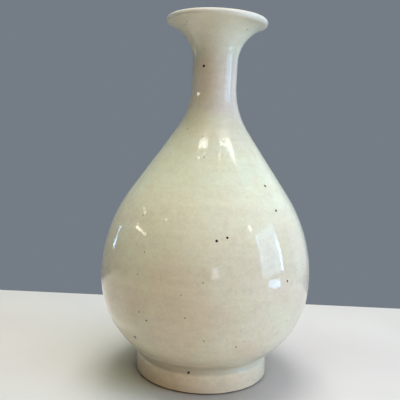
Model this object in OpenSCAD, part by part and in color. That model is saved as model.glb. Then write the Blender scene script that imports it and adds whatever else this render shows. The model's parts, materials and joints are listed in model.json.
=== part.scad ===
// Pear-shaped bottle vase: four thrown sections luted with slip, glazed outside, inside and under the base.
// The half-section is a chain of tangent curves, and every face is that chain set in by a coat or a wall.

/* [Body] */
// Total height, from the standing foot to the crest of the lip
vase_h = 300; // [288:1:330]
// Diameter of the belly at its widest ring, over the glaze
belly_d = 179; // [170:1:190]
// Height of the belly's widest ring above the standing foot
belly_z = 84; // [80:1:90]
// Radius of the curve from the belly down to the foot
lower_curve_r = 77; // [73:1:82]
// Radius of the curve from the belly up to the shoulder
shoulder_curve_r = 126; // [110:1:135]
// Thickness of the fired clay wall
wall = 5; // [4:0.25:6]
// Thickness of each coat of glaze
glaze_t = 0.5; // [0.3:0.05:0.8]

/* [Neck and mouth] */
// Diameter of the neck at its narrowest, over the glaze
neck_d = 37.5; // [34:0.5:44]
// Height at which the neck turns upright
neck_z = 246; // [235:1:250]
// Radius of the curve from the shoulder into the neck
neck_curve_r = 68; // [55:1:76]
// Diameter over the lip
mouth_d = 84.5; // [76:0.5:92]
// Height of the flare, from the upright neck to the crest of the lip
mouth_h = 36; // [28:0.5:44]

/* [Foot] */
// Outer diameter of the foot on the standing face, over the glaze
foot_d = 114; // [108:0.5:120]
// Outer diameter at which the foot wall runs into the belly, over the glaze
foot_top_d = 112; // [108:0.5:116]
// Diameter of the recess under the base, on the standing face
recess_d = 95; // [88:0.5:99]
// Diameter of the recess at the level of the base
recess_top_d = 92; // [86:0.5:95]
// Depth of the recess under the base
recess_h = 14; // [11:0.5:16]
// Thickness of the clay floor
floor_t = 9; // [7:0.5:12]
// Bevel on both edges of the standing face
foot_bevel = 1; // [0.5:0.1:2]
// Height of the bare clay band above the standing face
bare_h = 1.4; // [1.2:0.1:4]
// Radius of the cove tooled between the foot wall and the belly
cove_r = 3.2; // [2.8:0.1:4.5]
// Drop from the belly to the top edge of the foot wall
cove_h = 4.4; // [3.4:0.1:5.2]
// Depth to which the cove bites into the belly
cove_bite = 0.6; // [0.3:0.1:1]

/* [Luted seams] */
// Thickness of the slip in each seam
slip_t = 0.8; // [0.5:0.1:1]
// Width of the tongue on a section's lower rim
tongue_w = 3.2; // [2:0.1:3.4]
// Depth of the tongue
tongue_h = 2.2; // [1.2:0.1:3]
// Drop from the upright neck to the seam below it
neck_seam_drop = 21; // [16:1:26]
// Radius of the scored grooves in the foot seam
score_r = 0.7; // [0.6:0.05:0.9]
// Number of scored grooves in the foot seam
score_count = 3; // [2:1:3]

/* [Hidden] */
$fn = 180;

clay_colour = "burlywood";
slip_colour = "wheat";
glaze_colour = "ivory";

// Radii of the outline and the insets of its four faces
belly_r = belly_d / 2;
neck_r = neck_d / 2;
mouth_r = mouth_d / 2;
clay_out = glaze_t;
clay_in = glaze_t + wall;
bore = glaze_t + wall + glaze_t;
lip_r = bore / 2;
floor_z = recess_h + floor_t;

// Centres of the belly, shoulder and neck curves
lower_c = [belly_r - lower_curve_r, belly_z];
shoulder_c = [belly_r - shoulder_curve_r, belly_z];
neck_c = [neck_r + neck_curve_r, neck_z];

// Direction square to the straight slope that touches the shoulder and neck curves
slope_run = neck_c - shoulder_c;
slope_a = atan2(slope_run.y, slope_run.x) - acos((shoulder_curve_r + neck_curve_r) / norm(slope_run));
slope_n = [cos(slope_a), sin(slope_a)];

// The flare touches the upright neck and the full round of the lip, and its radius is kept to four decimals
flare_z = vase_h - mouth_h;
lip_c = [mouth_r - lip_r, vase_h - lip_r];
lip_reach = lip_c - [neck_r, flare_z];
flare_r = round(5000 * (lip_reach * lip_reach - lip_r * lip_r) / (lip_reach.x + lip_r)) / 10000;
flare_c = [neck_r + flare_r, flare_z];
lip_dir = (lip_c - flare_c) / norm(lip_c - flare_c);

// The foot wall leans from the standing face to the belly, and the cove passes through its top edge
foot_join_z = belly_z - sqrt(pow(lower_curve_r, 2) - pow(foot_top_d / 2 - lower_c.x, 2));
foot_edge = [foot_wall_r(foot_join_z - cove_h), foot_join_z - cove_h];
edge_run = foot_edge - lower_c;
cove_far = lower_curve_r + cove_r - cove_bite;
cove_turn = acos((edge_run * edge_run + cove_far * cove_far - cove_r * cove_r) / (2 * norm(edge_run) * cove_far));
cove_a = atan2(edge_run.y, edge_run.x) + cove_turn;
cove_c = lower_c + cove_far * [cos(cove_a), sin(cove_a)];

// Middles of the wall at the two keyed seams
neck_seam_z = neck_z - neck_seam_drop;
mid_inset = glaze_t + wall / 2;
belly_seam = [belly_r - mid_inset, belly_z];
neck_seam = [neck_c.x - sqrt(pow(neck_curve_r + mid_inset, 2) - pow(neck_seam_drop, 2)), neck_seam_z];

// The scored grooves lie along the foot seat, from the line of the recess wall to the cove
seat_r = lower_curve_r - clay_out + slip_t / 2;
recess_lean = atan((recess_top_d - recess_d) / (2 * recess_h));
recess_reach = (recess_wall_r(lower_c.y) - lower_c.x) * cos(recess_lean);
seat_first_a = -recess_lean - acos(recess_reach / seat_r);
seat_last_a = cove_a - asin(cove_r / cove_far);

// Margin by which cutting shapes pass the edge of what they cut
over = belly_r;

// Depth to which a straight or a round runs into the curve that it touches, so that the two cross
touch = 0.002;

// Outer radius of the foot wall at a height
function foot_wall_r(z) = foot_d / 2 + (foot_top_d - foot_d) / 2 * z / foot_join_z;

// Radius of the recess wall at a height
function recess_wall_r(z) = recess_d / 2 + (recess_top_d - recess_d) / 2 * z / recess_h;

// Ends of the straight slope on the face set in by an inset
function slope_start(inset) = shoulder_c + (shoulder_curve_r - inset - touch) * slope_n;
function slope_end(inset) = neck_c - (neck_curve_r + inset - touch) * slope_n;

module disc(centre, r) {
    translate(centre) circle(r);
}

// Strip from the axis out to a radius, between two heights
module strip(z0, z1, r = 2 * over) {
    polygon([[0, z0], [r, z0], [r, z1], [0, z1]]);
}

// Everything inside the face set in by an inset, from a lower height up to the flare
module body_fill(inset, z0) {
    start = slope_start(inset);
    end = slope_end(inset);
    intersection() {
        strip(z0, belly_z);
        disc(lower_c, lower_curve_r - inset);
    }
    intersection() {
        strip(belly_z, neck_z);
        disc(shoulder_c, shoulder_curve_r - inset);
    }
    difference() {
        polygon([[0, belly_z], start, end, [neck_c.x, end.y], neck_c, [0, neck_z]]);
        disc(neck_c, neck_curve_r + inset);
    }
    strip(neck_z, flare_z, neck_r - inset);
}

// Side of the lip's middle line that the flare lies on
module flare_side() {
    polygon([flare_c, flare_c + [-over, 0], flare_c + [-over, over], flare_c + over * lip_dir]);
}

// Flare and lip with every face set in by an inset
module mouth_fill(inset) {
    intersection() {
        difference() {
            disc(flare_c, flare_r + bore - inset);
            disc(flare_c, flare_r + inset);
        }
        flare_side();
    }
    disc(lip_c, lip_r - inset + touch);
}

// Half of the flare on the bore's side of the middle of its wall
module mouth_inside() {
    difference() {
        flare_side();
        disc(flare_c, flare_r + lip_r);
    }
}

// Coat of glaze round the flare and the lip
module mouth_coat() {
    difference() {
        mouth_fill(0);
        mouth_fill(glaze_t);
    }
}

module cove(inset) {
    disc(cove_c, cove_r + inset);
}

// Everything inside the foot wall set in by an inset, up to the belly
module foot_fill(inset) {
    polygon([
        [0, 0], [foot_wall_r(0) - inset, 0], [foot_wall_r(foot_join_z) - inset, foot_join_z], [0, foot_join_z]
    ]);
}

// Air of the recess below a height, set in by a coat
module recess_air(z1, inset) {
    polygon([
        [0, -over], [recess_wall_r(-over) - inset, -over], [recess_wall_r(z1) - inset, z1], [0, z1]
    ]);
}

// Outside form of the vase below the flare, with the cove cut
module outside_fill(inset) {
    difference() {
        union() {
            body_fill(inset, foot_edge.y);
            foot_fill(inset);
        }
        cove(inset);
    }
}

// Bowl of the lower section as the foot ring meets it
module bowl_fill(inset) {
    difference() {
        body_fill(inset, lower_c.y - lower_curve_r);
        recess_air(recess_h, 0);
    }
}

// Seam line across the wall: level edges and a tongue that points down
function seam_line(seam, rise) = [
    [0, seam.y + rise],
    [seam.x - tongue_w / 2, seam.y + rise],
    [seam.x, seam.y + rise - tongue_h],
    [seam.x + tongue_w / 2, seam.y + rise],
    [2 * over, seam.y + rise]
];

module above_seam(seam) {
    polygon(concat(seam_line(seam, slip_t / 2), [[2 * over, vase_h], [0, vase_h]]));
}

module below_seam(seam) {
    polygon(concat(seam_line(seam, -slip_t / 2), [[2 * over, 0], [0, 0]]));
}

// Clay wall from the bowl to the flare
module clay_wall() {
    difference() {
        bowl_fill(clay_out);
        body_fill(clay_in, floor_z);
        cove(clay_out);
    }
}

// Grooves scored in both faces of the foot seat, inside the clay
module score_grooves() {
    difference() {
        for (i = [1 : score_count]) {
            a = seat_first_a + (seat_last_a - seat_first_a) * i / (score_count + 1);
            disc(lower_c + seat_r * [cos(a), sin(a)], score_r);
        }
        recess_air(foot_join_z, 0);
        cove(clay_out);
    }
}

// Slip in a keyed seam: what neither section takes of the wall there
module keyed_slip(seam) {
    color(slip_colour) rotate_extrude() difference() {
        clay_wall();
        above_seam(seam);
        below_seam(seam);
    }
}

// Foot section between the recess and the outer wall, with bevelled standing edges
module foot_blank() {
    polygon([
        [recess_wall_r(foot_bevel), foot_bevel],
        [recess_wall_r(0) + foot_bevel, 0],
        [foot_wall_r(0) - clay_out - foot_bevel, 0],
        [foot_wall_r(foot_bevel) - clay_out, foot_bevel],
        [foot_wall_r(foot_join_z) - clay_out, foot_join_z],
        [recess_wall_r(foot_join_z), foot_join_z]
    ]);
}

module foot_ring() {
    color(clay_colour) rotate_extrude() difference() {
        foot_blank();
        disc(lower_c, lower_curve_r - clay_out + slip_t);
        cove(clay_out);
        score_grooves();
    }
}

module foot_luting_slip() {
    color(slip_colour) rotate_extrude() {
        difference() {
            intersection() {
                foot_blank();
                disc(lower_c, lower_curve_r - clay_out + slip_t);
            }
            disc(lower_c, lower_curve_r - clay_out);
            cove(clay_out);
        }
        score_grooves();
    }
}

module lower_body() {
    color(clay_colour) rotate_extrude() difference() {
        intersection() {
            clay_wall();
            below_seam(belly_seam);
        }
        score_grooves();
    }
}

module belly_luting_slip() {
    keyed_slip(belly_seam);
}

module upper_body() {
    color(clay_colour) rotate_extrude() intersection() {
        clay_wall();
        above_seam(belly_seam);
        below_seam(neck_seam);
    }
}

module neck_luting_slip() {
    keyed_slip(neck_seam);
}

module neck_and_mouth() {
    color(clay_colour) rotate_extrude() {
        intersection() {
            clay_wall();
            above_seam(neck_seam);
        }
        mouth_fill(clay_out);
    }
}

module outer_glaze() {
    color(glaze_colour) rotate_extrude() {
        difference() {
            outside_fill(0);
            outside_fill(clay_out);
            strip(-over, bare_h);
        }
        difference() {
            mouth_coat();
            mouth_inside();
        }
    }
}

module inner_glaze() {
    color(glaze_colour) rotate_extrude() {
        difference() {
            body_fill(clay_in, floor_z);
            body_fill(bore, floor_z + glaze_t);
        }
        intersection() {
            mouth_coat();
            mouth_inside();
        }
    }
}

// Coat on the base and the recess wall, stopped short of the standing face
module base_glaze() {
    color(glaze_colour) rotate_extrude() difference() {
        recess_air(foot_join_z, 0);
        difference() {
            recess_air(foot_join_z, glaze_t);
            intersection() {
                strip(recess_h - glaze_t, belly_z);
                disc(lower_c, lower_curve_r - clay_out + glaze_t);
            }
        }
        bowl_fill(clay_out);
        strip(-2 * over, bare_h);
    }
}

foot_ring();
foot_luting_slip();
lower_body();
belly_luting_slip();
upper_body();
neck_luting_slip();
neck_and_mouth();
outer_glaze();
inner_glaze();
base_glaze();
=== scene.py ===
# Looks of a pear-shaped bottle vase: an ivory glaze with iron specks over turned clay, on a pale table
import json
import math

import bmesh
import bpy
from mathutils import Matrix, Vector
from mathutils.bvhtree import BVHTree


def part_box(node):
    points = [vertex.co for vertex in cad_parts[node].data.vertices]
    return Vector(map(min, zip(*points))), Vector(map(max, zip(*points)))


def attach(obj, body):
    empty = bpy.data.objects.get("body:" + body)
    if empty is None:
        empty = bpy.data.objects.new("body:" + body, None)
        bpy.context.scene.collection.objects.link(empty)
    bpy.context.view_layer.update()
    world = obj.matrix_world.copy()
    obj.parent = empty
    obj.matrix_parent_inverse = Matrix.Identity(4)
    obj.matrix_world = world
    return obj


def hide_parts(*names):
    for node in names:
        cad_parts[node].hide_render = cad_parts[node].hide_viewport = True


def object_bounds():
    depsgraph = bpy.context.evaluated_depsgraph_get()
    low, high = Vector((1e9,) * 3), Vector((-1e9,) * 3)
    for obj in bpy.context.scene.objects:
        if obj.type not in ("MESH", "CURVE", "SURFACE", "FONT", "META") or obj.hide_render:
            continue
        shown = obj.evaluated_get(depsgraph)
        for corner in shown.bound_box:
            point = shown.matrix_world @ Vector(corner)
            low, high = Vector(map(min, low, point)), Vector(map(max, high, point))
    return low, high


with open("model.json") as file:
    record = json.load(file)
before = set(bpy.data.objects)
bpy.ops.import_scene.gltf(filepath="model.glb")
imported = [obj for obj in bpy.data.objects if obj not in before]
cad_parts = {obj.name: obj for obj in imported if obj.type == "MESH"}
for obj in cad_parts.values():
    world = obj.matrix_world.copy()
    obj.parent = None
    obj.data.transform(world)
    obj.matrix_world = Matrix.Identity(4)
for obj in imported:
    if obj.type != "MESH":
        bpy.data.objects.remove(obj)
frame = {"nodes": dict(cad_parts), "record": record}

MM = 0.001
FULL_TURN = 2 * math.pi
cad_low, cad_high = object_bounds()
record = frame["record"]

# Sizes of the half-section, in millimetres, as the solids have them
GLAZE_T = 0.5
WALL = 5.0
BORE = WALL + 2 * GLAZE_T
VASE_H = cad_high.z / MM
BELLY_R = cad_high.x / MM
BELLY_Z = 84.0
LOWER_CURVE_R = 77.0
SHOULDER_CURVE_R = 126.0
NECK_R = 18.75
NECK_Z = 246.0
NECK_CURVE_R = 68.0
MOUTH_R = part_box("neck_and_mouth")[1].x / MM + GLAZE_T
MOUTH_H = 36.0
LIP_R = BORE / 2
FOOT_R = 57.0
FOOT_TOP_R = 56.0
COVE_R = 3.2
COVE_H = 4.4
COVE_BITE = 0.6
FLOOR_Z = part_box("inner_glaze")[0].z / MM
BARE_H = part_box("outer_glaze")[0].z / MM
RECESS_R = 47.5
RECESS_TOP_R = 46.0
RECESS_H = 14.0

# How finely the coats are turned: columns around, steps of arcs in degrees, steps along straight stretches
TURNS = 144
LONG_ARC_STEP = 1.6
FLARE_STEP = 2 * LONG_ARC_STEP
TIGHT_ARC_STEP = 9.0
ROLL_STEP = 2 * TIGHT_ARC_STEP
CLAY_LIP_STEP = 3 * TIGHT_ARC_STEP
SLOPE_STEPS = 24
NECK_STEPS = 8
FOOT_WALL_STEPS = 24
FLOOR_STEPS = 12
CEILING_STEPS = 16
RECESS_WALL_STEPS = 12
BEND_STEPS = 6
CLAY_FACE_EVERY = 3
COVE_SEARCH_STEP = 0.01
WELD_DISTANCE = 1e-6

# How far the glaze rounds a corner, and how far its wavy foot edge reaches up, in millimetres
CORNER_SOFTENING = 2.0
EDGE_REACH = 3.0

# How the coats were thrown and dipped: heights of the ripples in millimetres, and the noise in a hand's work
RIPPLE_HEIGHT = 0.015
RIPPLE_PITCH = 11.0
RIPPLE_FROM = (24, 45)
RIPPLE_CALMS = (140, 175)
RIPPLE_ENDS = (268, 290)
CALM_SHARE = 0.75
UNEVENNESS = 0.5
COAT_EDGE_WAVE = 0.7
BASE_EDGE_WAVE = 0.5
COAT_SEED = 3.0
BASE_SEED = 8.0
HAND_NOISE = {"Scale": 1.3, "Detail": 1.0}
HAND_CLIMB = 12.0
RIPPLE_DRIFT = 9.0
EDGE_NOISE = {"Scale": 5.0, "Detail": 3.0}
EDGE_MIDDLE = 0.65
NOISE_MIDDLE = 0.5
HALF_STEP = 0.5


# Half-sections of the vessel
def away(start, end):
    """Vector from one point of the half-section to another."""
    return end[0] - start[0], end[1] - start[1]


def angle_of(run):
    """Direction of a vector in the half-section, in degrees."""
    return math.degrees(math.atan2(run[1], run[0]))


def arc(centre, radius, start, end, step):
    """Points of an arc in the half-section, from one angle to another in degrees."""
    count = max(2, math.ceil(abs(end - start) / step))
    angles = [math.radians(start + (end - start) * i / count) for i in range(count + 1)]
    return [(centre[0] + radius * math.cos(a), centre[1] + radius * math.sin(a)) for a in angles]


def straight(start, end, count):
    """Points of a straight line, ends included."""
    run = away(start, end)
    return [(start[0] + run[0] * i / count, start[1] + run[1] * i / count) for i in range(count + 1)]


def foot_wall_r(z):
    """Outer radius of the foot wall at a height."""
    return FOOT_R + (FOOT_TOP_R - FOOT_R) * z / foot_join_z


def recess_wall_r(z):
    """Radius of the recess wall at a height."""
    return RECESS_R + (RECESS_TOP_R - RECESS_R) * z / RECESS_H


# Centres and angles of the outline, whose arcs run into each other without a kink
lower_c = (BELLY_R - LOWER_CURVE_R, BELLY_Z)
shoulder_c = (BELLY_R - SHOULDER_CURVE_R, BELLY_Z)
neck_c = (NECK_R + NECK_CURVE_R, NECK_Z)
slope_run = away(shoulder_c, neck_c)
slope_lean = math.degrees(math.acos((SHOULDER_CURVE_R + NECK_CURVE_R) / math.hypot(*slope_run)))
slope_a = angle_of(slope_run) - slope_lean
flare_z = VASE_H - MOUTH_H
lip_c = (MOUTH_R - LIP_R, VASE_H - LIP_R)
lip_reach = away((NECK_R, flare_z), lip_c)
flare_r = (lip_reach[0] ** 2 + lip_reach[1] ** 2 - LIP_R ** 2) / (2 * (lip_reach[0] + LIP_R))
flare_c = (NECK_R + flare_r, flare_z)
lip_a = angle_of(away(flare_c, lip_c))

# The cove bites into the lower curve and ends at the top edge of the foot wall
foot_join_z = BELLY_Z - math.sqrt(LOWER_CURVE_R ** 2 - (FOOT_TOP_R - lower_c[0]) ** 2)
foot_edge = (foot_wall_r(foot_join_z - COVE_H), foot_join_z - COVE_H)
edge_run = away(lower_c, foot_edge)
cove_far = LOWER_CURVE_R + COVE_R - COVE_BITE
cove_squares = edge_run[0] ** 2 + edge_run[1] ** 2 + cove_far ** 2 - COVE_R ** 2
cove_turn = math.degrees(math.acos(cove_squares / (2 * math.hypot(*edge_run) * cove_far)))
cove_a = math.radians(angle_of(edge_run) + cove_turn)
cove_c = (lower_c[0] + cove_far * math.cos(cove_a), lower_c[1] + cove_far * math.sin(cove_a))


def body_face(inset, lower_start):
    """The wall's face set in by an inset, from an angle on the lower curve up to the lip's round."""
    points = arc(lower_c, LOWER_CURVE_R - inset, lower_start, 0, LONG_ARC_STEP)
    points += arc(shoulder_c, SHOULDER_CURVE_R - inset, 0, slope_a, LONG_ARC_STEP)[1:]
    neck = arc(neck_c, NECK_CURVE_R + inset, slope_a + 180, 180, LONG_ARC_STEP)
    points += straight(points[-1], neck[0], SLOPE_STEPS)[1:] + neck[1:]
    flare = arc(flare_c, flare_r + inset, 180, lip_a, FLARE_STEP)
    points += straight(points[-1], flare[0], NECK_STEPS)[1:]
    return points + flare[1:]


def soften(points, corner):
    """Rounds a corner of an outline, as glaze does, between the points next to it on both sides."""
    near = [i for i, p in enumerate(points) if math.dist(p, corner) < CORNER_SOFTENING]
    first, last = near[0] - 1, near[-1] + 1
    a, b = points[first], points[last]
    bend = []
    for i in range(1, BEND_STEPS):
        t = i / BEND_STEPS
        shares = ((1 - t) ** 2, 2 * t * (1 - t), t ** 2)
        bend.append(tuple(shares[0] * a[k] + shares[1] * corner[k] + shares[2] * b[k] for k in (0, 1)))
    return points[:first + 1] + bend + points[last:]


def outside_face(inset):
    """The outside from the bare band at the foot up to the lip, set in by an inset."""
    to_cove = away(lower_c, cove_c)
    apart = math.hypot(*to_cove)
    belly_r = LOWER_CURVE_R - inset
    cove_r = COVE_R + inset
    swing = math.degrees(math.acos((belly_r ** 2 + apart ** 2 - cove_r ** 2) / (2 * belly_r * apart)))
    belly = body_face(inset, angle_of(to_cove) + swing)
    wall_top = foot_edge[1]
    while math.dist((foot_wall_r(wall_top) - inset, wall_top), cove_c) < cove_r:
        wall_top -= COVE_SEARCH_STEP
    edge = (foot_wall_r(wall_top) - inset, wall_top)
    cove_start = angle_of(away(cove_c, edge)) % 360
    cove_end = angle_of(away(cove_c, belly[0])) % 360
    cove = arc(cove_c, cove_r, cove_start, cove_end, TIGHT_ARC_STEP)
    wall = straight((foot_wall_r(BARE_H) - inset, BARE_H), edge, FOOT_WALL_STEPS)
    return soften(soften(wall + cove[1:] + belly[1:], edge), belly[0])


def inside_face(inset, floor_z):
    """The inside from the middle of the floor up to the lip, set in by an inset."""
    start = -math.degrees(math.asin((BELLY_Z - floor_z) / (LOWER_CURVE_R - inset)))
    wall = body_face(inset, start)
    return straight((0, floor_z), wall[0], FLOOR_STEPS) + wall[1:]


def above_roll(points):
    """Points of an outline above the roll of glaze at the foot."""
    return [p for p in points if p[1] > BARE_H + GLAZE_T]


def coat_section():
    """Closed half-section of the coat: the shown face from floor over lip to foot, then the clay's face."""
    inside = inside_face(BORE, FLOOR_Z + GLAZE_T)
    lip = arc(lip_c, LIP_R, lip_a, lip_a - 180, TIGHT_ARC_STEP)
    outside = above_roll(reversed(outside_face(0)))
    roll = arc((foot_wall_r(BARE_H) - GLAZE_T, BARE_H + GLAZE_T), GLAZE_T, 0, -90, ROLL_STEP)
    shown = inside + lip[1:-1] + outside + roll
    clay_out = above_roll(outside_face(GLAZE_T)[::CLAY_FACE_EVERY])
    clay_lip = arc(lip_c, LIP_R - GLAZE_T, lip_a - 180, lip_a, CLAY_LIP_STEP)
    clay_in = inside_face(BORE - GLAZE_T, FLOOR_Z)[::-CLAY_FACE_EVERY]
    hidden = clay_out + clay_lip[1:-1] + clay_in
    if hidden[-1][0] > 0:
        hidden.append((0, FLOOR_Z))
    return shown, hidden


def base_section():
    """Closed half-section of the recess's coat: the shown face from axis to bare band, then the clay's."""
    ceiling_z = RECESS_H - GLAZE_T
    bowl_r = LOWER_CURVE_R - GLAZE_T
    bend_c = (recess_wall_r(ceiling_z) - 2 * GLAZE_T, ceiling_z - GLAZE_T)
    ceiling_end = (recess_wall_r(RECESS_H) - 2 * GLAZE_T, ceiling_z)
    wall_end = (recess_wall_r(BARE_H) - GLAZE_T, BARE_H + GLAZE_T)
    shown = straight((0, ceiling_z), ceiling_end, CEILING_STEPS)
    shown += arc(bend_c, GLAZE_T, 90, 0, ROLL_STEP)[1:]
    shown += straight(shown[-1], wall_end, RECESS_WALL_STEPS)[1:]
    shown.append((recess_wall_r(BARE_H), BARE_H))
    seat_z = BELLY_Z - math.sqrt(bowl_r ** 2 - (RECESS_TOP_R - lower_c[0]) ** 2)
    flat_r = lower_c[0] + math.sqrt(bowl_r ** 2 - (BELLY_Z - RECESS_H) ** 2)
    hidden = [(recess_wall_r(seat_z), seat_z), (flat_r, RECESS_H), (0, RECESS_H)]
    return shown, hidden


def smooth_share(value, low, high):
    """0 below low, 1 above high and a smooth rise between."""
    t = min(1.0, max(0.0, (value - low) / (high - low)))
    return t * t * (3 - 2 * t)


def body_ripple(z):
    """Share of ripple on the vessel's shown face: little above the shoulder, none at the foot and the lip."""
    calm = 1 - CALM_SHARE * smooth_share(z, *RIPPLE_CALMS)
    return smooth_share(z, *RIPPLE_FROM) * calm * (1 - smooth_share(z, *RIPPLE_ENDS))


# Node helpers
def put(tree, kind, feed=None, **options):
    """Adds a node with its options, and feeds its inputs with values or with other nodes' outputs."""
    made = tree.nodes.new(kind)
    for key, value in options.items():
        setattr(made, key, value)
    for key, value in (feed or {}).items():
        if isinstance(value, bpy.types.NodeSocket):
            tree.links.new(value, made.inputs[key])
        else:
            made.inputs[key].default_value = value
    return made


def calc(tree, operation, a, b=0.0, c=0.0):
    """Output of a math node."""
    return put(tree, "ShaderNodeMath", {0: a, 1: b, 2: c}, operation=operation).outputs[0]


def times(tree, a, b):
    """Output of a product."""
    return calc(tree, "MULTIPLY", a, b)


def ramp_between(tree, value, low, high, to_low=0.0, to_high=1.0):
    """Output of a smooth map range."""
    feed = {"Value": value, "From Min": low, "From Max": high, "To Min": to_low, "To Max": to_high}
    return put(tree, "ShaderNodeMapRange", feed, interpolation_type="SMOOTHSTEP").outputs[0]


def join_xyz(tree, x, y, z=0.0):
    """Output of a vector made of three numbers."""
    return put(tree, "ShaderNodeCombineXYZ", {0: x, 1: y, 2: z}).outputs[0]


def split_xyz(tree, vector):
    """Outputs of a vector's three numbers."""
    return put(tree, "ShaderNodeSeparateXYZ", {0: vector}).outputs


def radius_of(tree, parts):
    """Output of the distance from the upright axis."""
    across = times(tree, parts["X"], parts["X"])
    along = times(tree, parts["Y"], parts["Y"])
    return calc(tree, "SQRT", calc(tree, "ADD", across, along))


def place_here(tree):
    """Output of the place of each point."""
    return put(tree, "GeometryNodeInputPosition").outputs[0]


def named(tree, name, kind="FLOAT"):
    """Output of a named attribute."""
    return put(tree, "GeometryNodeInputNamedAttribute", {"Name": name}, data_type=kind).outputs[0]


def keep_as(tree, geometry, name, value, kind="FLOAT"):
    """Output of a geometry with a value kept on its points under a name."""
    feed = {"Geometry": geometry, "Name": name, "Value": value}
    return put(tree, "GeometryNodeStoreNamedAttribute", feed, data_type=kind, domain="POINT").outputs[0]


def smooth_faces(tree, geometry):
    """Output of a geometry with smooth shading."""
    return put(tree, "GeometryNodeSetShadeSmooth", {"Geometry": geometry}).outputs[0]


def make_real(tree, geometry):
    """Output of a geometry whose repeated shapes are made real."""
    return put(tree, "GeometryNodeRealizeInstances", {"Geometry": geometry}).outputs[0]


def new_tree(name, inputs):
    """An empty geometry tree with named inputs: (name, socket type, default)."""
    tree = bpy.data.node_groups.new(name, "GeometryNodeTree")
    tree.interface.new_socket("Geometry", in_out="INPUT", socket_type="NodeSocketGeometry")
    for label, kind, default in inputs:
        socket = tree.interface.new_socket(label, in_out="INPUT", socket_type=kind)
        if default is not None:
            socket.default_value = default
    tree.interface.new_socket("Geometry", in_out="OUTPUT", socket_type="NodeSocketGeometry")
    return tree, tree.nodes.new("NodeGroupInput").outputs, tree.nodes.new("NodeGroupOutput").inputs


def end_tree(tree, geometry, finish, result):
    """Gives the geometry its finish and hands it to the tree's output."""
    feed = {"Geometry": geometry, "Material": finish}
    tree.links.new(put(tree, "GeometryNodeSetMaterial", feed).outputs[0], result["Geometry"])
    return tree


# Meshes and objects
def in_scene(name, data):
    """A new object in the scene, made of the given data."""
    made = bpy.data.objects.new(name, data)
    bpy.context.scene.collection.objects.link(made)
    return made


def mark_points(mesh, name, values, kind="FLOAT", field="value"):
    """Keeps a value on each point of a mesh under a name."""
    mesh.attributes.new(name, kind, "POINT").data.foreach_set(field, values)


def grow(source, tree, values, name):
    """Runs a geometry tree on an object with the given inputs and returns the result as a plain mesh."""
    modifier = source.modifiers.new("grow", "NODES")
    identifiers = {s.name: s.identifier for s in tree.interface.items_tree if s.in_out == "INPUT"}
    modifier.node_group = tree
    for label, value in values.items():
        modifier[identifiers[label]] = value
    graph = bpy.context.evaluated_depsgraph_get()
    mesh = bpy.data.meshes.new_from_object(source.evaluated_get(graph))
    source.modifiers.remove(modifier)
    bpy.data.objects.remove(source)
    mesh.name = name
    return in_scene(name, mesh)


def close_and_face_outwards(piece):
    """Merges the seam and the poles and turns every face outwards."""
    work = bmesh.new()
    work.from_mesh(piece.data)
    bmesh.ops.remove_doubles(work, verts=work.verts, dist=WELD_DISTANCE)
    bmesh.ops.recalc_face_normals(work, faces=work.faces)
    for face in work.faces:
        face.smooth = True
    work.to_mesh(piece.data)
    work.free()


# Turned coats of glaze
def at_ring(tree, section, value, ring, kind):
    """Output of a value that the half-section has at a ring's point."""
    feed = {"Geometry": section, "Value": value, "Index": ring}
    return put(tree, "GeometryNodeSampleIndex", feed, data_type=kind).outputs[0]


def seeded_noise(tree, place, seed, noise):
    """Output of a noise texture that a seed sets apart."""
    feed = {"Vector": place, "W": seed, **noise}
    return put(tree, "ShaderNodeTexNoise", feed, noise_dimensions="4D").outputs[0]


def throwing_push(tree, given, east, north, height):
    """Output of how far the wall stands out: a hand's unevenness and the throwing ripples."""
    climb = join_xyz(tree, east, north, times(tree, height, HAND_CLIMB))
    hand = seeded_noise(tree, climb, given["Seed"], HAND_NOISE)
    sway = times(tree, calc(tree, "SUBTRACT", hand, NOISE_MIDDLE), given["Unevenness"])
    phase = times(tree, calc(tree, "DIVIDE", height, given["Ripple Pitch"]), FULL_TURN)
    wave = calc(tree, "SINE", calc(tree, "ADD", phase, times(tree, hand, RIPPLE_DRIFT)))
    return calc(tree, "ADD", sway, times(tree, wave, given["Ripple Height"]))


def edge_lift(tree, given, east, north, height):
    """Output of how far the dipped edge at the foot wanders up or down."""
    noise = seeded_noise(tree, join_xyz(tree, east, north), given["Seed"], EDGE_NOISE)
    edge_end = calc(tree, "ADD", given["Edge Height"], EDGE_REACH * MM)
    near_edge = ramp_between(tree, height, given["Edge Height"], edge_end, 1, 0)
    wander = calc(tree, "SUBTRACT", noise, EDGE_MIDDLE)
    return times(tree, times(tree, wander, near_edge), given["Edge Wave"])


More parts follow.
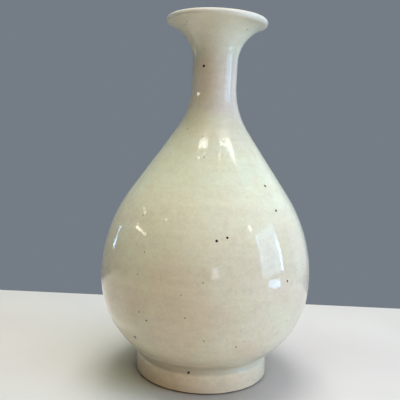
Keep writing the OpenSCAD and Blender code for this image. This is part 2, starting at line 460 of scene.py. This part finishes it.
def turned_coat_tree():
    """Turns a half-section about the vase's axis into a coat with ripples, a hand's sway and a wavy edge."""
    tree, given, result = new_tree("turned coat", [
        ("Turns", "NodeSocketInt", TURNS),
        ("Ripple Height", "NodeSocketFloat", 0.0),
        ("Ripple Pitch", "NodeSocketFloat", RIPPLE_PITCH * MM),
        ("Unevenness", "NodeSocketFloat", 0.0),
        ("Edge Wave", "NodeSocketFloat", 0.0),
        ("Edge Height", "NodeSocketFloat", BARE_H * MM),
        ("Seed", "NodeSocketFloat", 0.0),
        ("Finish", "NodeSocketMaterial", None),
    ])
    section = given["Geometry"]
    rings = put(tree, "GeometryNodeAttributeDomainSize", {"Geometry": section}).outputs["Point Count"]
    columns = calc(tree, "ADD", given["Turns"], 1)
    sheet = put(tree, "GeometryNodeMeshGrid", {"Vertices X": columns, "Vertices Y": rings}).outputs["Mesh"]
    index = put(tree, "GeometryNodeInputIndex").outputs[0]
    ring = calc(tree, "MODULO", index, rings)
    column = calc(tree, "FLOOR", calc(tree, "DIVIDE", calc(tree, "ADD", index, HALF_STEP), rings))
    angle = times(tree, calc(tree, "DIVIDE", column, given["Turns"]), FULL_TURN)
    east = calc(tree, "COSINE", angle)
    north = calc(tree, "SINE", angle)
    profile = split_xyz(tree, at_ring(tree, section, place_here(tree), ring, "FLOAT_VECTOR"))
    share = at_ring(tree, section, named(tree, "ripple"), ring, "FLOAT")
    push = times(tree, throwing_push(tree, given, east, north, profile["Z"]), share)
    radius = calc(tree, "ADD", profile["X"], push)
    level = calc(tree, "ADD", profile["Z"], edge_lift(tree, given, east, north, profile["Z"]))
    turned = join_xyz(tree, times(tree, radius, east), times(tree, radius, north), level)
    placed = put(tree, "GeometryNodeSetPosition", {"Geometry": sheet, "Position": turned}).outputs[0]
    welding = {"Geometry": placed, "Distance": WELD_DISTANCE}
    welded = put(tree, "GeometryNodeMergeByDistance", welding).outputs[0]
    return end_tree(tree, make_real(tree, smooth_faces(tree, welded)), given["Finish"], result)


def section_object(shown, hidden, ripple):
    """A half-section as a line of points, each with its share of ripple, which the clay's face has not."""
    points = [(r * MM, 0, z * MM) for r, z in shown + hidden]
    mesh = bpy.data.meshes.new("half_section")
    mesh.from_pydata(points, [(i, i + 1) for i in range(len(points) - 1)], [])
    mark_points(mesh, "ripple", [ripple(z) if ripple else 0.0 for _, z in shown] + [0.0] * len(hidden))
    return in_scene("half_section", mesh)


def turned_coat(name, section, edge_wave, seed, ripple=None, ripple_height=0.0, unevenness=0.0):
    """A closed coat of glaze, turned from its half-section."""
    made = grow(section_object(*section, ripple), coat_tree, {
        "Turns": TURNS,
        "Ripple Height": ripple_height * MM,
        "Ripple Pitch": RIPPLE_PITCH * MM,
        "Unevenness": unevenness * MM,
        "Edge Wave": edge_wave * MM,
        "Edge Height": BARE_H * MM,
        "Seed": seed,
        "Finish": glaze,
    }, name)
    close_and_face_outwards(made)
    return made


# Tints of the glaze
WARM_FOOT = (0.92, 0.76, 0.55)
# Darker tan low on the belly: the glaze's own tone with painted shade under the belly
TAN_AND_SHADE_LOW = (0.79, 0.67, 0.505)
BLUSH = (0.81, 0.685, 0.52)
IVORY = (0.80, 0.735, 0.56)
GREENISH = (0.81, 0.82, 0.625)
NECK_PINK = (0.80, 0.69, 0.585)
MOUTH_GREY = (0.69, 0.645, 0.51)
# Paler colour on the lip's crest: a painted top light
PAINTED_CREST_LIGHT = (0.85, 0.80, 0.70)
# Tan band just under the lip's roll
UNDER_LIP_TAN = (0.68, 0.57, 0.43)
STRAW = (0.79, 0.71, 0.48)
TAN_CLOUD = (0.65, 0.555, 0.42)
# Darker colour of the cove: glaze pooled there, with painted shade under the belly's overhang
POOLED_AND_SHADED = (0.53, 0.46, 0.33)
IRON = (0.016, 0.010, 0.007)
IRON_BLEED = (0.36, 0.27, 0.16)

# Drift of the tints up the vase, by share of its height, and how far it wanders
# The lowest stop is partly painted shade under the belly
TINTS_BY_LEVEL = [
    (0.08, TAN_AND_SHADE_LOW), (0.26, BLUSH), (0.45, IVORY), (0.58, GREENISH),
    (0.71, IVORY), (0.765, NECK_PINK), (0.86, NECK_PINK), (0.93, MOUTH_GREY),
]
TINT_WANDER = 60 * MM

# Patterns in the glaze: noise, the two values of it between which a pattern comes up, and its strength
DRIFT = dict(scale=14.0, detail=3.0)
BLOTCHES = dict(scale=30.0, detail=3.0, comes_up=(0.4, 0.68), to_high=0.45)
STRAW_PATCHES = dict(scale=75.0, detail=4.0, roughness=0.6, comes_up=(0.45, 0.7), to_high=0.45)
CLOUDS = dict(scale=105.0, detail=3.5, roughness=0.75, stretch=(1, 1, 1.4), comes_up=(0.38, 0.72))
TURNING_LINES = dict(
    scale=22.0, detail=6.0, stretch=(1, 1, 11), comes_up=(0.3, 0.7), to_low=0.972, to_high=1.012
)
FINE_GRAIN = dict(scale=420.0, detail=3.0, comes_up=(0.3, 0.7), to_low=0.965, to_high=1.025)
GLOSS_PATCHES = dict(scale=60.0, detail=4.0, comes_up=(0.3, 0.7), to_low=0.03, to_high=0.07)
CALM_PATCHES = dict(scale=11.0, detail=1.0, comes_up=(0.35, 0.65), to_low=0.4, to_high=1.0)
SLOW_WAVES = dict(scale=120.0, detail=1.0)
PEEL = dict(scale=340.0, detail=1.0)
PEPPER_SCALE = 95.0
PINHOLE_SCALE = 220.0

# Zones of the glaze: from and to a height, a radius or a pattern's value, and what changes there
FOOT_WARMTH = dict(low=12 * MM, high=18 * MM, to_low=0.85, to_high=0.0)
# Cove band, where the colour darkens: pooled glaze and painted shade under the belly
POOL_AND_SHADE_STARTS = dict(low=14.8 * MM, high=16.8 * MM)
POOL_AND_SHADE_ENDS = dict(low=18 * MM, high=36 * MM, to_low=1.0, to_high=0.0)
CLOUDS_FADE = dict(low=115 * MM, high=175 * MM, to_low=0.36, to_high=0.22)
NECK_CALM = dict(low=165 * MM, high=200 * MM, to_low=1.0, to_high=0.35)
JOINT_STARTS = dict(low=198 * MM, high=207 * MM, to_high=0.2)
JOINT_ENDS = dict(low=208 * MM, high=240 * MM, to_low=1.0, to_high=0.0)
UNDER_LIP_BAND = dict(low=287 * MM, high=293 * MM, to_high=0.25)
# Heights and radii of the lip's crest, where a painted top light pales the colour
CREST_LIGHT_HEIGHTS = dict(low=294.6 * MM, high=297.6 * MM, to_high=0.95)
CREST_LIGHT_RADII = dict(low=34 * MM, high=40 * MM, to_low=0.2, to_high=1.0)
PEPPER_DOTS = dict(low=0.03, high=0.075, to_low=0.5, to_high=0.0)
PEPPER_PLACES = dict(low=0.48, high=0.62)
BLEED_EDGE = dict(low=0.0, high=0.45)
IRON_EDGE = dict(low=0.35, high=0.75)
PINHOLE_EDGE = dict(low=0.02, high=0.1)
# Strength of the cove's darker colour, which is partly painted shade
POOL_AND_SHADE_TINT = 0.55
POOL_DULLNESS = 0.45
GLAZE_IOR = 1.52
WAVE_DEPTH = 0.14 * MM
PEEL_DEPTH = 0.10 * MM
PINHOLE_DEPTH = 0.04 * MM
PINHOLE_STRENGTH = 0.5

# Matt finishes: tints by the value of their clouds, grit, tooth of the surface and roughness
CLAY_CLOUDS = dict(scale=90.0, detail=5.0)
CLAY_TINTS = [(0.3, (0.11, 0.066, 0.04)), (0.5, (0.19, 0.115, 0.068)), (0.72, (0.27, 0.18, 0.11))]
CLAY_GRIT_SCALE = 900.0
CLAY_GRIT = dict(low=0.08, high=0.3, to_low=0.6, to_high=1.0)
CLAY_TOOTH = dict(scale=1400.0, detail=4.0)
CLAY_TOOTH_DEPTH = 0.15 * MM
CLAY_TOOTH_STRENGTH = 0.7
CLAY_ROUGHNESS = 0.85
SLIP_CLOUDS = dict(scale=120.0, detail=4.0)
SLIP_TINTS = [(0.3, (0.44, 0.34, 0.24)), (0.7, (0.60, 0.50, 0.38))]
SLIP_TOOTH = dict(scale=1800.0, detail=2.0)
SLIP_TOOTH_DEPTH = 0.05 * MM
SLIP_TOOTH_STRENGTH = 0.6
SLIP_ROUGHNESS = 0.8
TABLE_CLOUDS = dict(scale=6.0, detail=2.0)
TABLE_TINTS = [(0.3, (0.62, 0.60, 0.575)), (0.7, (0.66, 0.64, 0.615))]
TABLE_ROUGHNESS = 0.9
TABLE_SHINE = 0.2


# Finishes
def new_finish(name):
    """An empty material with its shader and output, and Object coordinates."""
    finish = bpy.data.materials.new(name)
    finish.use_nodes = True
    tree = finish.node_tree
    tree.nodes.clear()
    shader = tree.nodes.new("ShaderNodeBsdfPrincipled")
    put(tree, "ShaderNodeOutputMaterial", {"Surface": shader.outputs[0]})
    point = tree.nodes.new("ShaderNodeTexCoord").outputs["Object"]
    return finish, tree, shader, point


def grain(tree, point, scale, detail, stretch=None, roughness=0.5):
    """Output of a noise texture, with the point stretched first where that is asked for."""
    if stretch:
        point = put(tree, "ShaderNodeMapping", {"Vector": point, "Scale": stretch}).outputs[0]
    feed = {"Vector": point, "Scale": scale, "Detail": detail, "Roughness": roughness}
    return put(tree, "ShaderNodeTexNoise", feed).outputs[0]


def patches(tree, point, comes_up, to_low=0.0, to_high=1.0, **noise):
    """Output of a noise texture made into patches that come up between two of its values."""
    return ramp_between(tree, grain(tree, point, **noise), *comes_up, to_low, to_high)


def dots(tree, point, scale):
    """Output of the distance to the nearest of many scattered dots."""
    return put(tree, "ShaderNodeTexVoronoi", {"Vector": point, "Scale": scale}).outputs["Distance"]


def blend_colours(tree, share, a, b, mode="MIX"):
    """Output of a colour mix, from a at share 0 to b at share 1."""
    mix = put(tree, "ShaderNodeMix", {0: share}, data_type="RGBA", blend_type=mode)
    for socket, value in ((mix.inputs[6], a), (mix.inputs[7], b)):
        if isinstance(value, bpy.types.NodeSocket):
            tree.links.new(value, socket)
        else:
            socket.default_value = (*value, 1)
    return mix.outputs[2]


def darken(tree, colour, shade):
    """Output of a colour times a shade."""
    return blend_colours(tree, 1.0, colour, join_xyz(tree, shade, shade, shade), "MULTIPLY")


def colour_band(tree, value, stops):
    """Output of a colour ramp: stops are (place, colour)."""
    made = put(tree, "ShaderNodeValToRGB", {0: value})
    elements = made.color_ramp.elements
    made.color_ramp.interpolation = "EASE"
    while len(elements) < len(stops):
        elements.new(0.5)
    for element, (place, colour) in zip(elements, stops):
        element.position = place
        element.color = (*colour, 1)
    return made.outputs[0]


def bump(tree, height, distance, strength=1.0, below=None):
    """Output of a bump node, over another one where there is one."""
    feed = {"Height": height, "Distance": distance, "Strength": strength}
    if below is not None:
        feed["Normal"] = below
    return put(tree, "ShaderNodeBump", feed).outputs[0]


def glaze_tint(tree, point, height, radius, pool_and_shade):
    """Colour of the glaze: tints that drift by height, a tan band under the lip, a painted highlight on the
    lip's crest, a cove darkened by pooled glaze and painted shade, with its iron.
    """
    drift = grain(tree, point, **DRIFT)
    wander = times(tree, calc(tree, "SUBTRACT", drift, NOISE_MIDDLE), TINT_WANDER)
    level = calc(tree, "DIVIDE", calc(tree, "ADD", height, wander), VASE_H * MM)
    colour = colour_band(tree, level, TINTS_BY_LEVEL)
    colour = blend_colours(tree, patches(tree, point, **BLOTCHES), colour, GREENISH)
    colour = blend_colours(tree, patches(tree, point, **STRAW_PATCHES), colour, STRAW)
    colour = blend_colours(tree, ramp_between(tree, height, **FOOT_WARMTH), colour, WARM_FOOT)
    cloud = times(tree, patches(tree, point, **CLOUDS), ramp_between(tree, height, **CLOUDS_FADE))
    colour = blend_colours(tree, cloud, colour, TAN_CLOUD)
    shade = times(tree, patches(tree, point, **TURNING_LINES), patches(tree, point, **FINE_GRAIN))
    colour = darken(tree, colour, shade)
    # Painted shade in the cove under the belly, over glaze pooled there
    colour = blend_colours(tree, times(tree, pool_and_shade, POOL_AND_SHADE_TINT), colour, POOLED_AND_SHADED)
    # Tan band just under the lip's roll
    colour = blend_colours(tree, ramp_between(tree, height, **UNDER_LIP_BAND), colour, UNDER_LIP_TAN)
    # Painted highlight along the lip's crest, where it faces up and out
    crest_light = times(tree, ramp_between(tree, height, **CREST_LIGHT_HEIGHTS), ramp_between(tree, radius, **CREST_LIGHT_RADII))
    colour = blend_colours(tree, crest_light, colour, PAINTED_CREST_LIGHT)
    pepper = ramp_between(tree, dots(tree, point, PEPPER_SCALE), **PEPPER_DOTS)
    pepper = times(tree, pepper, ramp_between(tree, drift, **PEPPER_PLACES))
    colour = blend_colours(tree, pepper, colour, IRON_BLEED)
    iron = put(tree, "ShaderNodeAttribute", attribute_name="iron").outputs["Fac"]
    colour = blend_colours(tree, ramp_between(tree, iron, **BLEED_EDGE), colour, IRON_BLEED)
    return blend_colours(tree, ramp_between(tree, iron, **IRON_EDGE), colour, IRON)


def glaze_gloss(tree, point, height, pool_and_shade):
    """Roughness of the glaze: patchy gloss, duller in the cove, where glaze pools, and in the ring under the
    neck.
    """
    gloss = calc(tree, "ADD", patches(tree, point, **GLOSS_PATCHES), times(tree, pool_and_shade, POOL_DULLNESS))
    joint = times(tree, ramp_between(tree, height, **JOINT_STARTS), ramp_between(tree, height, **JOINT_ENDS))
    return calc(tree, "ADD", gloss, joint)


def glaze_relief(tree, point, height):
    """Relief of the glaze: slow waves and peel, calmer in patches and at the neck, and pinholes."""
    calm = times(tree, patches(tree, point, **CALM_PATCHES), ramp_between(tree, height, **NECK_CALM))
    waves = bump(tree, times(tree, grain(tree, point, **SLOW_WAVES), calm), WAVE_DEPTH)
    peel = bump(tree, times(tree, grain(tree, point, **PEEL), calm), PEEL_DEPTH, below=waves)
    pits = ramp_between(tree, dots(tree, point, PINHOLE_SCALE), **PINHOLE_EDGE)
    return bump(tree, pits, PINHOLE_DEPTH, PINHOLE_STRENGTH, peel)


def ivory_glaze():
    """Glossy ivory glaze, with iron where a piece is marked with it."""
    finish, tree, shader, point = new_finish("ivory_glaze")
    parts = split_xyz(tree, point)
    height = parts["Z"]
    # Mask of the cove band: pooled glaze and painted shade
    pool_and_shade = times(tree, ramp_between(tree, height, **POOL_AND_SHADE_STARTS), ramp_between(tree, height, **POOL_AND_SHADE_ENDS))
    tint = glaze_tint(tree, point, height, radius_of(tree, parts), pool_and_shade)
    tree.links.new(tint, shader.inputs["Base Color"])
    tree.links.new(glaze_gloss(tree, point, height, pool_and_shade), shader.inputs["Roughness"])
    tree.links.new(glaze_relief(tree, point, height), shader.inputs["Normal"])
    shader.inputs["IOR"].default_value = GLAZE_IOR
    return finish


def fired_clay():
    """Bare iron-brown fired clay with fine grit."""
    finish, tree, shader, point = new_finish("fired_clay")
    colour = colour_band(tree, grain(tree, point, **CLAY_CLOUDS), CLAY_TINTS)
    grit = ramp_between(tree, dots(tree, point, CLAY_GRIT_SCALE), **CLAY_GRIT)
    tree.links.new(darken(tree, colour, grit), shader.inputs["Base Color"])
    tooth = bump(tree, grain(tree, point, **CLAY_TOOTH), CLAY_TOOTH_DEPTH, CLAY_TOOTH_STRENGTH)
    tree.links.new(tooth, shader.inputs["Normal"])
    shader.inputs["Roughness"].default_value = CLAY_ROUGHNESS
    return finish


def fired_slip():
    """Pale fired slip, fine and matt."""
    finish, tree, shader, point = new_finish("fired_slip")
    colour = colour_band(tree, grain(tree, point, **SLIP_CLOUDS), SLIP_TINTS)
    tree.links.new(colour, shader.inputs["Base Color"])
    tooth = bump(tree, grain(tree, point, **SLIP_TOOTH), SLIP_TOOTH_DEPTH, SLIP_TOOTH_STRENGTH)
    tree.links.new(tooth, shader.inputs["Normal"])
    shader.inputs["Roughness"].default_value = SLIP_ROUGHNESS
    return finish


def pale_table():
    """Plain pale matt table."""
    finish, tree, shader, point = new_finish("pale_table")
    colour = colour_band(tree, grain(tree, point, **TABLE_CLOUDS), TABLE_TINTS)
    tree.links.new(colour, shader.inputs["Base Color"])
    shader.inputs["Roughness"].default_value = TABLE_ROUGHNESS
    shader.inputs["Specular IOR Level"].default_value = TABLE_SHINE
    return finish


# The coats, and the finishes of the solids behind them
glaze = ivory_glaze()
finishes = {"ivory_glaze": glaze, "fired_clay": fired_clay(), "fired_slip": fired_slip()}
coat_tree = turned_coat_tree()
coat = turned_coat(
    "glaze_coat", coat_section(), COAT_EDGE_WAVE, COAT_SEED, body_ripple, RIPPLE_HEIGHT, UNEVENNESS
)
base_coat = turned_coat("base_coat", base_section(), BASE_EDGE_WAVE, BASE_SEED)

slots = {row["node"]: row["material_slot"] for row in record["subparts"]}
for name, node in frame["nodes"].items():
    node.data.materials.clear()
    node.data.materials.append(finishes[slots[name]])

# Camera, from the photograph: its place in millimetres, pitch and roll in degrees, focal length in pixels
IMAGE_SIDE = 400
FOCAL_PIXELS = 539.5
SENSOR_WIDTH = 36
CAMERA_PLACE = Vector((-7.4, -462.0, 200.1)) * MM
CAMERA_PITCH = 83.6
CAMERA_ROLL = 2.71
camera_data = bpy.data.cameras.new("camera")
camera_data.sensor_width = SENSOR_WIDTH
camera_data.lens = SENSOR_WIDTH * FOCAL_PIXELS / IMAGE_SIDE
camera = in_scene("camera", camera_data)
pitch = Matrix.Rotation(math.radians(CAMERA_PITCH), 4, "X")
roll = Matrix.Rotation(math.radians(CAMERA_ROLL), 4, "Z")
view_turn = pitch @ roll
camera.matrix_world = Matrix.Translation(CAMERA_PLACE) @ view_turn
bpy.context.scene.camera = camera

# Iron specks that the photograph shows: pixel, radius in millimetres and darkness
SPECKS = [
    ((204, 66), 1.45, 1.0), ((216.7, 241), 1.3, 1.0), ((227.4, 237.8), 1.15, 1.0), ((265, 186), 1.25, 1.0),
    ((276, 210.7), 1.3, 1.0), ((287.4, 281), 1.2, 1.0), ((188.6, 372.6), 1.35, 1.0), ((135, 336.8), 1.4, 1.0),
    ((136, 338.4), 0.8, 0.8), ((146.3, 320.6), 0.9, 0.8), ((236, 347), 0.9, 0.75), ((263, 352), 0.9, 0.65),
    ((187, 21.8), 0.85, 0.65), ((186, 24), 0.75, 0.6), ((247.2, 29.7), 0.7, 0.6), ((187.7, 128.6), 0.7, 0.5),
    ((202.7, 136.2), 0.65, 0.6), ((204.3, 157), 0.85, 0.45), ((143.2, 215.4), 0.6, 0.75),
    ((144.5, 252), 0.75, 0.5), ((137.5, 274.2), 0.75, 0.45), ((138.9, 311.9), 0.85, 0.55),
    ((185, 318), 0.75, 0.6), ((203.8, 341.2), 0.85, 0.55), ((203, 282.8), 0.75, 0.5),
    ((303, 264.5), 0.6, 0.6), ((286.8, 320.4), 0.75, 0.45), ((181, 295), 0.65, 0.5),
]

# Stray specks on the far side: how many to the square metre, sizes and limit in millimetres, darkness
STRAYS = 520.0
SMALLEST_STRAY = 0.3
LARGEST_STRAY = 0.75
STRAYS_BEHIND = 5.0
STRAY_DARKNESS = dict(low=0.0, high=0.6, to_low=0.5, to_high=1.0)
SPECK_SEED = 11

# Dome of a speck, by its own radius
SPECK_FLATNESS = 0.09
SPECK_SEGMENTS = 10
SPECK_RINGS = 6
SPECK_CORE = dict(low=0.5, high=1.0, to_low=1.0, to_high=0.0)


def speck_points():
    """Points of the photographed specks on the glaze, each with its facing, size and darkness."""
    surface = BVHTree.FromObject(coat, bpy.context.evaluated_depsgraph_get())
    places, facings = [], []
    for (x, y), _, _ in SPECKS:
        ray = Vector((x - IMAGE_SIDE / 2, IMAGE_SIDE / 2 - y, -FOCAL_PIXELS))
        place, facing, _, _ = surface.ray_cast(CAMERA_PLACE, (view_turn.to_3x3() @ ray).normalized())
        places.append(place)
        facings.extend(facing)
    mesh = bpy.data.meshes.new("marked_specks")
    mesh.from_pydata(places, [], [])
    mark_points(mesh, "facing", facings, "FLOAT_VECTOR", "vector")
    mark_points(mesh, "size", [radius * MM for _, radius, _ in SPECKS])
    mark_points(mesh, "dark", [dark for _, _, dark in SPECKS])
    return in_scene("marked_specks", mesh)


def more_than(tree, a, b):
    """Output that says where a is more than b."""
    feed = {"A": a, "B": b}
    return put(tree, "FunctionNodeCompare", feed, data_type="FLOAT", operation="GREATER_THAN").outputs[0]


def stray_points(tree, given):
    """Output of points scattered over the far side of the glaze, each with its facing, size and darkness."""
    skin = put(tree, "GeometryNodeObjectInfo", {"Object": given["Glaze"]}).outputs["Geometry"]
    place = place_here(tree)
    sides = {0: put(tree, "GeometryNodeInputNormal").outputs[0], 1: place}
    outward = put(tree, "ShaderNodeVectorMath", sides, operation="DOT_PRODUCT").outputs["Value"]
    chosen = put(tree, "FunctionNodeBooleanMath", {
        0: more_than(tree, split_xyz(tree, place)["Y"], STRAYS_BEHIND * MM), 1: more_than(tree, outward, 0.0),
    }, operation="AND").outputs[0]
    strays = put(tree, "GeometryNodeDistributePointsOnFaces", {
        "Mesh": skin, "Selection": chosen, "Density": given["Strays"], "Seed": given["Seed"],
    }, distribute_method="RANDOM").outputs
    draw = {"Min": 0.0, "Max": 1.0, "Seed": given["Seed"]}
    chance = put(tree, "FunctionNodeRandomValue", draw, data_type="FLOAT").outputs[1]
    lean = calc(tree, "POWER", chance, 2.0)
    span = calc(tree, "SUBTRACT", given["Largest"], given["Smallest"])
    size = calc(tree, "MULTIPLY_ADD", lean, span, given["Smallest"])
    points = keep_as(tree, strays["Points"], "facing", strays["Normal"], "FLOAT_VECTOR")
    points = keep_as(tree, points, "size", size)
    return keep_as(tree, points, "dark", ramp_between(tree, lean, **STRAY_DARKNESS))


def speck_dome(tree, given):
    """Output of a low dome of iron, with its core marked."""
    ball_sizes = {"Segments": SPECK_SEGMENTS, "Rings": SPECK_RINGS, "Radius": 1.0}
    ball = put(tree, "GeometryNodeMeshUVSphere", ball_sizes).outputs["Mesh"]
    flat = join_xyz(tree, 1.0, 1.0, given["Flatness"])
    dome = put(tree, "GeometryNodeTransform", {"Geometry": ball, "Scale": flat}).outputs[0]
    reach = radius_of(tree, split_xyz(tree, place_here(tree)))
    return keep_as(tree, dome, "core", ramp_between(tree, reach, **SPECK_CORE))


def speck_tree():
    """Low domes of iron on marked points, and stray ones on the far side, sunk into the glaze."""
    tree, given, result = new_tree("iron specks", [
        ("Glaze", "NodeSocketObject", None),
        ("Strays", "NodeSocketFloat", STRAYS),
        ("Smallest", "NodeSocketFloat", SMALLEST_STRAY * MM),
        ("Largest", "NodeSocketFloat", LARGEST_STRAY * MM),
        ("Flatness", "NodeSocketFloat", SPECK_FLATNESS),
        ("Seed", "NodeSocketInt", 0),
        ("Finish", "NodeSocketMaterial", None),
    ])
    strays = stray_points(tree, given)
    marked = put(tree, "GeometryNodeMeshToPoints", {"Mesh": given["Geometry"]}).outputs[0]
    both = tree.nodes.new("GeometryNodeJoinGeometry")
    tree.links.new(strays, both.inputs[0])
    tree.links.new(marked, both.inputs[0])
    facing = {"Vector": named(tree, "facing", "FLOAT_VECTOR")}
    set_out = put(tree, "GeometryNodeInstanceOnPoints", {
        "Points": both.outputs[0],
        "Instance": speck_dome(tree, given),
        "Rotation": put(tree, "FunctionNodeAlignRotationToVector", facing, axis="Z").outputs[0],
        "Scale": named(tree, "size"),
    }).outputs[0]
    iron = times(tree, named(tree, "core"), named(tree, "dark"))
    marked_iron = keep_as(tree, make_real(tree, set_out), "iron", iron)
    return end_tree(tree, smooth_faces(tree, marked_iron), given["Finish"], result)


specks = grow(speck_points(), speck_tree(), {
    "Glaze": coat,
    "Strays": STRAYS,
    "Smallest": SMALLEST_STRAY * MM,
    "Largest": LARGEST_STRAY * MM,
    "Flatness": SPECK_FLATNESS,
    "Seed": SPECK_SEED,
    "Finish": glaze,
}, "iron_specks")

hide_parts("outer_glaze", "inner_glaze")
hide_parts("base_glaze")
for piece in (coat, base_coat, specks):
    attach(piece, "root")

# Table and backdrop
TABLE_BACK = 0.2
TABLE_FRONT = -1.3
TABLE_HALF_WIDTH = 1.0
BACKDROP = (0.175, 0.202, 0.235)
AMBIENT = (0.01, 0.01, 0.01)
table_mesh = bpy.data.meshes.new("table")
table_mesh.from_pydata([
    (-TABLE_HALF_WIDTH, TABLE_FRONT, 0), (TABLE_HALF_WIDTH, TABLE_FRONT, 0),
    (TABLE_HALF_WIDTH, TABLE_BACK, 0), (-TABLE_HALF_WIDTH, TABLE_BACK, 0),
], [], [(0, 1, 2, 3)])
table_mesh.materials.append(pale_table())
table = in_scene("table", table_mesh)

world = bpy.data.worlds.new("backdrop")
bpy.context.scene.world = world
world.use_nodes = True
ground = world.node_tree
ground.nodes.clear()
rays = put(ground, "ShaderNodeLightPath").outputs
seen = calc(ground, "MAXIMUM", rays["Is Camera Ray"], rays["Is Glossy Ray"])
seen = calc(ground, "MAXIMUM", seen, rays["Is Transmission Ray"])
sky = put(ground, "ShaderNodeBackground", {"Color": blend_colours(ground, seen, AMBIENT, BACKDROP)})
put(ground, "ShaderNodeOutputWorld", {"Surface": sky.outputs[0]})

# What a lamp does: lights the surfaces, shows in their gloss, or both
FULL = (True, True)
FILL = (True, False)
GLINT = (False, True)

# Colours and heights of the lamps
DAYLIGHT = (0.36, 0.64, 1.0)
NEUTRAL = (1.0, 1.0, 0.98)
WARM = (1.0, 0.91, 0.76)
LAMPLIGHT = (1.0, 0.72, 0.38)
SKY = (0.77, 0.78, 1.0)
LEAFLIGHT = (0.81, 1.0, 0.79)
CREAM = (1.0, 0.97, 0.86)
LAMP_AIM = Vector((0, 0, 0.13))
CEILING_Z = 1.8
ABOVE_TABLE_Z = 0.002


def beside(azimuth, elevation, distance):
    """Place and turn of a lamp around the vase that faces it."""
    a, e = math.radians(azimuth), math.radians(elevation)
    out = Vector((math.sin(a) * math.cos(e), -math.cos(a) * math.cos(e), math.sin(e)))
    return LAMP_AIM + out * distance, out.to_track_quat("Z", "Y").to_euler()


def overhead(x, y, angle):
    """Place and turn of a lamp on the ceiling that faces down."""
    return Vector((x, y, CEILING_Z)), (0, 0, math.radians(angle))


def on_table(x, y, angle):
    """Place and turn of a bright patch on the table that faces up."""
    return Vector((x, y, ABOVE_TABLE_Z)), (math.pi, 0, math.radians(angle))


def lamp(name, hung, width, height, level, colour, does):
    """A soft rectangular lamp: hung is its place and turn, and level its brightness."""
    data = bpy.data.lights.new(name, "AREA")
    data.shape = "RECTANGLE"
    data.size = width
    data.size_y = height
    data.energy = level * math.pi * width * height
    data.color = colour
    made = in_scene(name, data)
    made.location, made.rotation_euler = hung
    made.visible_camera = False
    made.visible_diffuse, made.visible_glossy = does


# Lamps: name, where it hangs, width, height, level, colour and what it does
LAMPS = [
    ("window_pane", beside(74, 13, 1.4), 0.72, 0.72, 3.2, DAYLIGHT, FULL),
    ("window_edge", beside(60, 14, 1.35), 0.10, 0.66, 2.2, DAYLIGHT, FULL),
    ("window_gap", beside(86, 8, 1.35), 0.09, 0.46, 8.0, DAYLIGHT, FULL),
    ("window_sill", beside(72, -9, 0.7), 0.18, 0.08, 8.0, DAYLIGHT, GLINT),
    ("ceiling_right", overhead(0.9376, -0.3168, 21.8), 0.32, 0.0992, 8.0, NEUTRAL, GLINT),
    ("ceiling_right_tail", overhead(0.752, -0.4144, 21.8), 0.704, 0.0528, 8.0, NEUTRAL, GLINT),
    ("ceiling_left", overhead(-0.408, -0.5504, -16.8), 0.448, 0.0448, 9.5, NEUTRAL, GLINT),
    ("ceiling_spot", overhead(0.368, -0.624, 0.0), 0.128, 0.032, 7.0, WARM, GLINT),
    ("warm_strip_right", beside(53, 29, 1.4), 0.03, 0.32, 3.0, WARM, FULL),
    ("warm_strip_left", beside(-84, 20, 1.4), 0.42, 0.05, 9.0, WARM, GLINT),
    ("warm_strip_high", beside(-96, 29, 1.4), 0.24, 0.03, 7.0, WARM, GLINT),
    ("warm_spot_high", beside(-75, 37, 1.4), 0.05, 0.05, 8.0, WARM, GLINT),
    ("warm_spot_left", beside(-58, 37, 1.4), 0.05, 0.05, 9.0, WARM, GLINT),
    ("warm_spot_right", beside(55, 33, 1.4), 0.06, 0.10, 10.0, WARM, GLINT),
    ("room_lamp", beside(9, 5, 1.4), 0.18, 0.24, 4.0, SKY, GLINT),
    ("gap_left", beside(-120, 3, 1.4), 0.05, 0.24, 11.0, DAYLIGHT, FULL),
    ("bright_wall_right", beside(125, 10, 1.7), 1.0, 1.2, 0.5, NEUTRAL, GLINT),
    ("right_fill", beside(70, 3, 1.8), 1.2, 1.2, 3.8, DAYLIGHT, FILL),
    ("front_fill", beside(30, 28, 1.8), 1.2, 1.2, 1.8, LAMPLIGHT, FILL),
    ("back_fill", beside(170, 25, 1.8), 1.2, 1.2, 1.0, CREAM, FILL),
    ("ceiling_fill", overhead(0.0, 0.24, 0.0), 0.8, 1.6, 6.2, NEUTRAL, FILL),
    ("ceiling_left_fill", overhead(-0.72, -0.24, 0.0), 0.8, 0.8, 4.0, LEAFLIGHT, FILL),
    ("ceiling_right_fill", overhead(0.672, -0.304, 0.0), 0.8, 0.8, 4.6, SKY, FILL),
    ("sunlit_table", on_table(-0.37, 0.06, 10), 0.50, 0.30, 0.35, CREAM, GLINT),
]
for row in LAMPS:
    lamp(*row)

bpy.context.scene.view_settings.view_transform = "Standard"
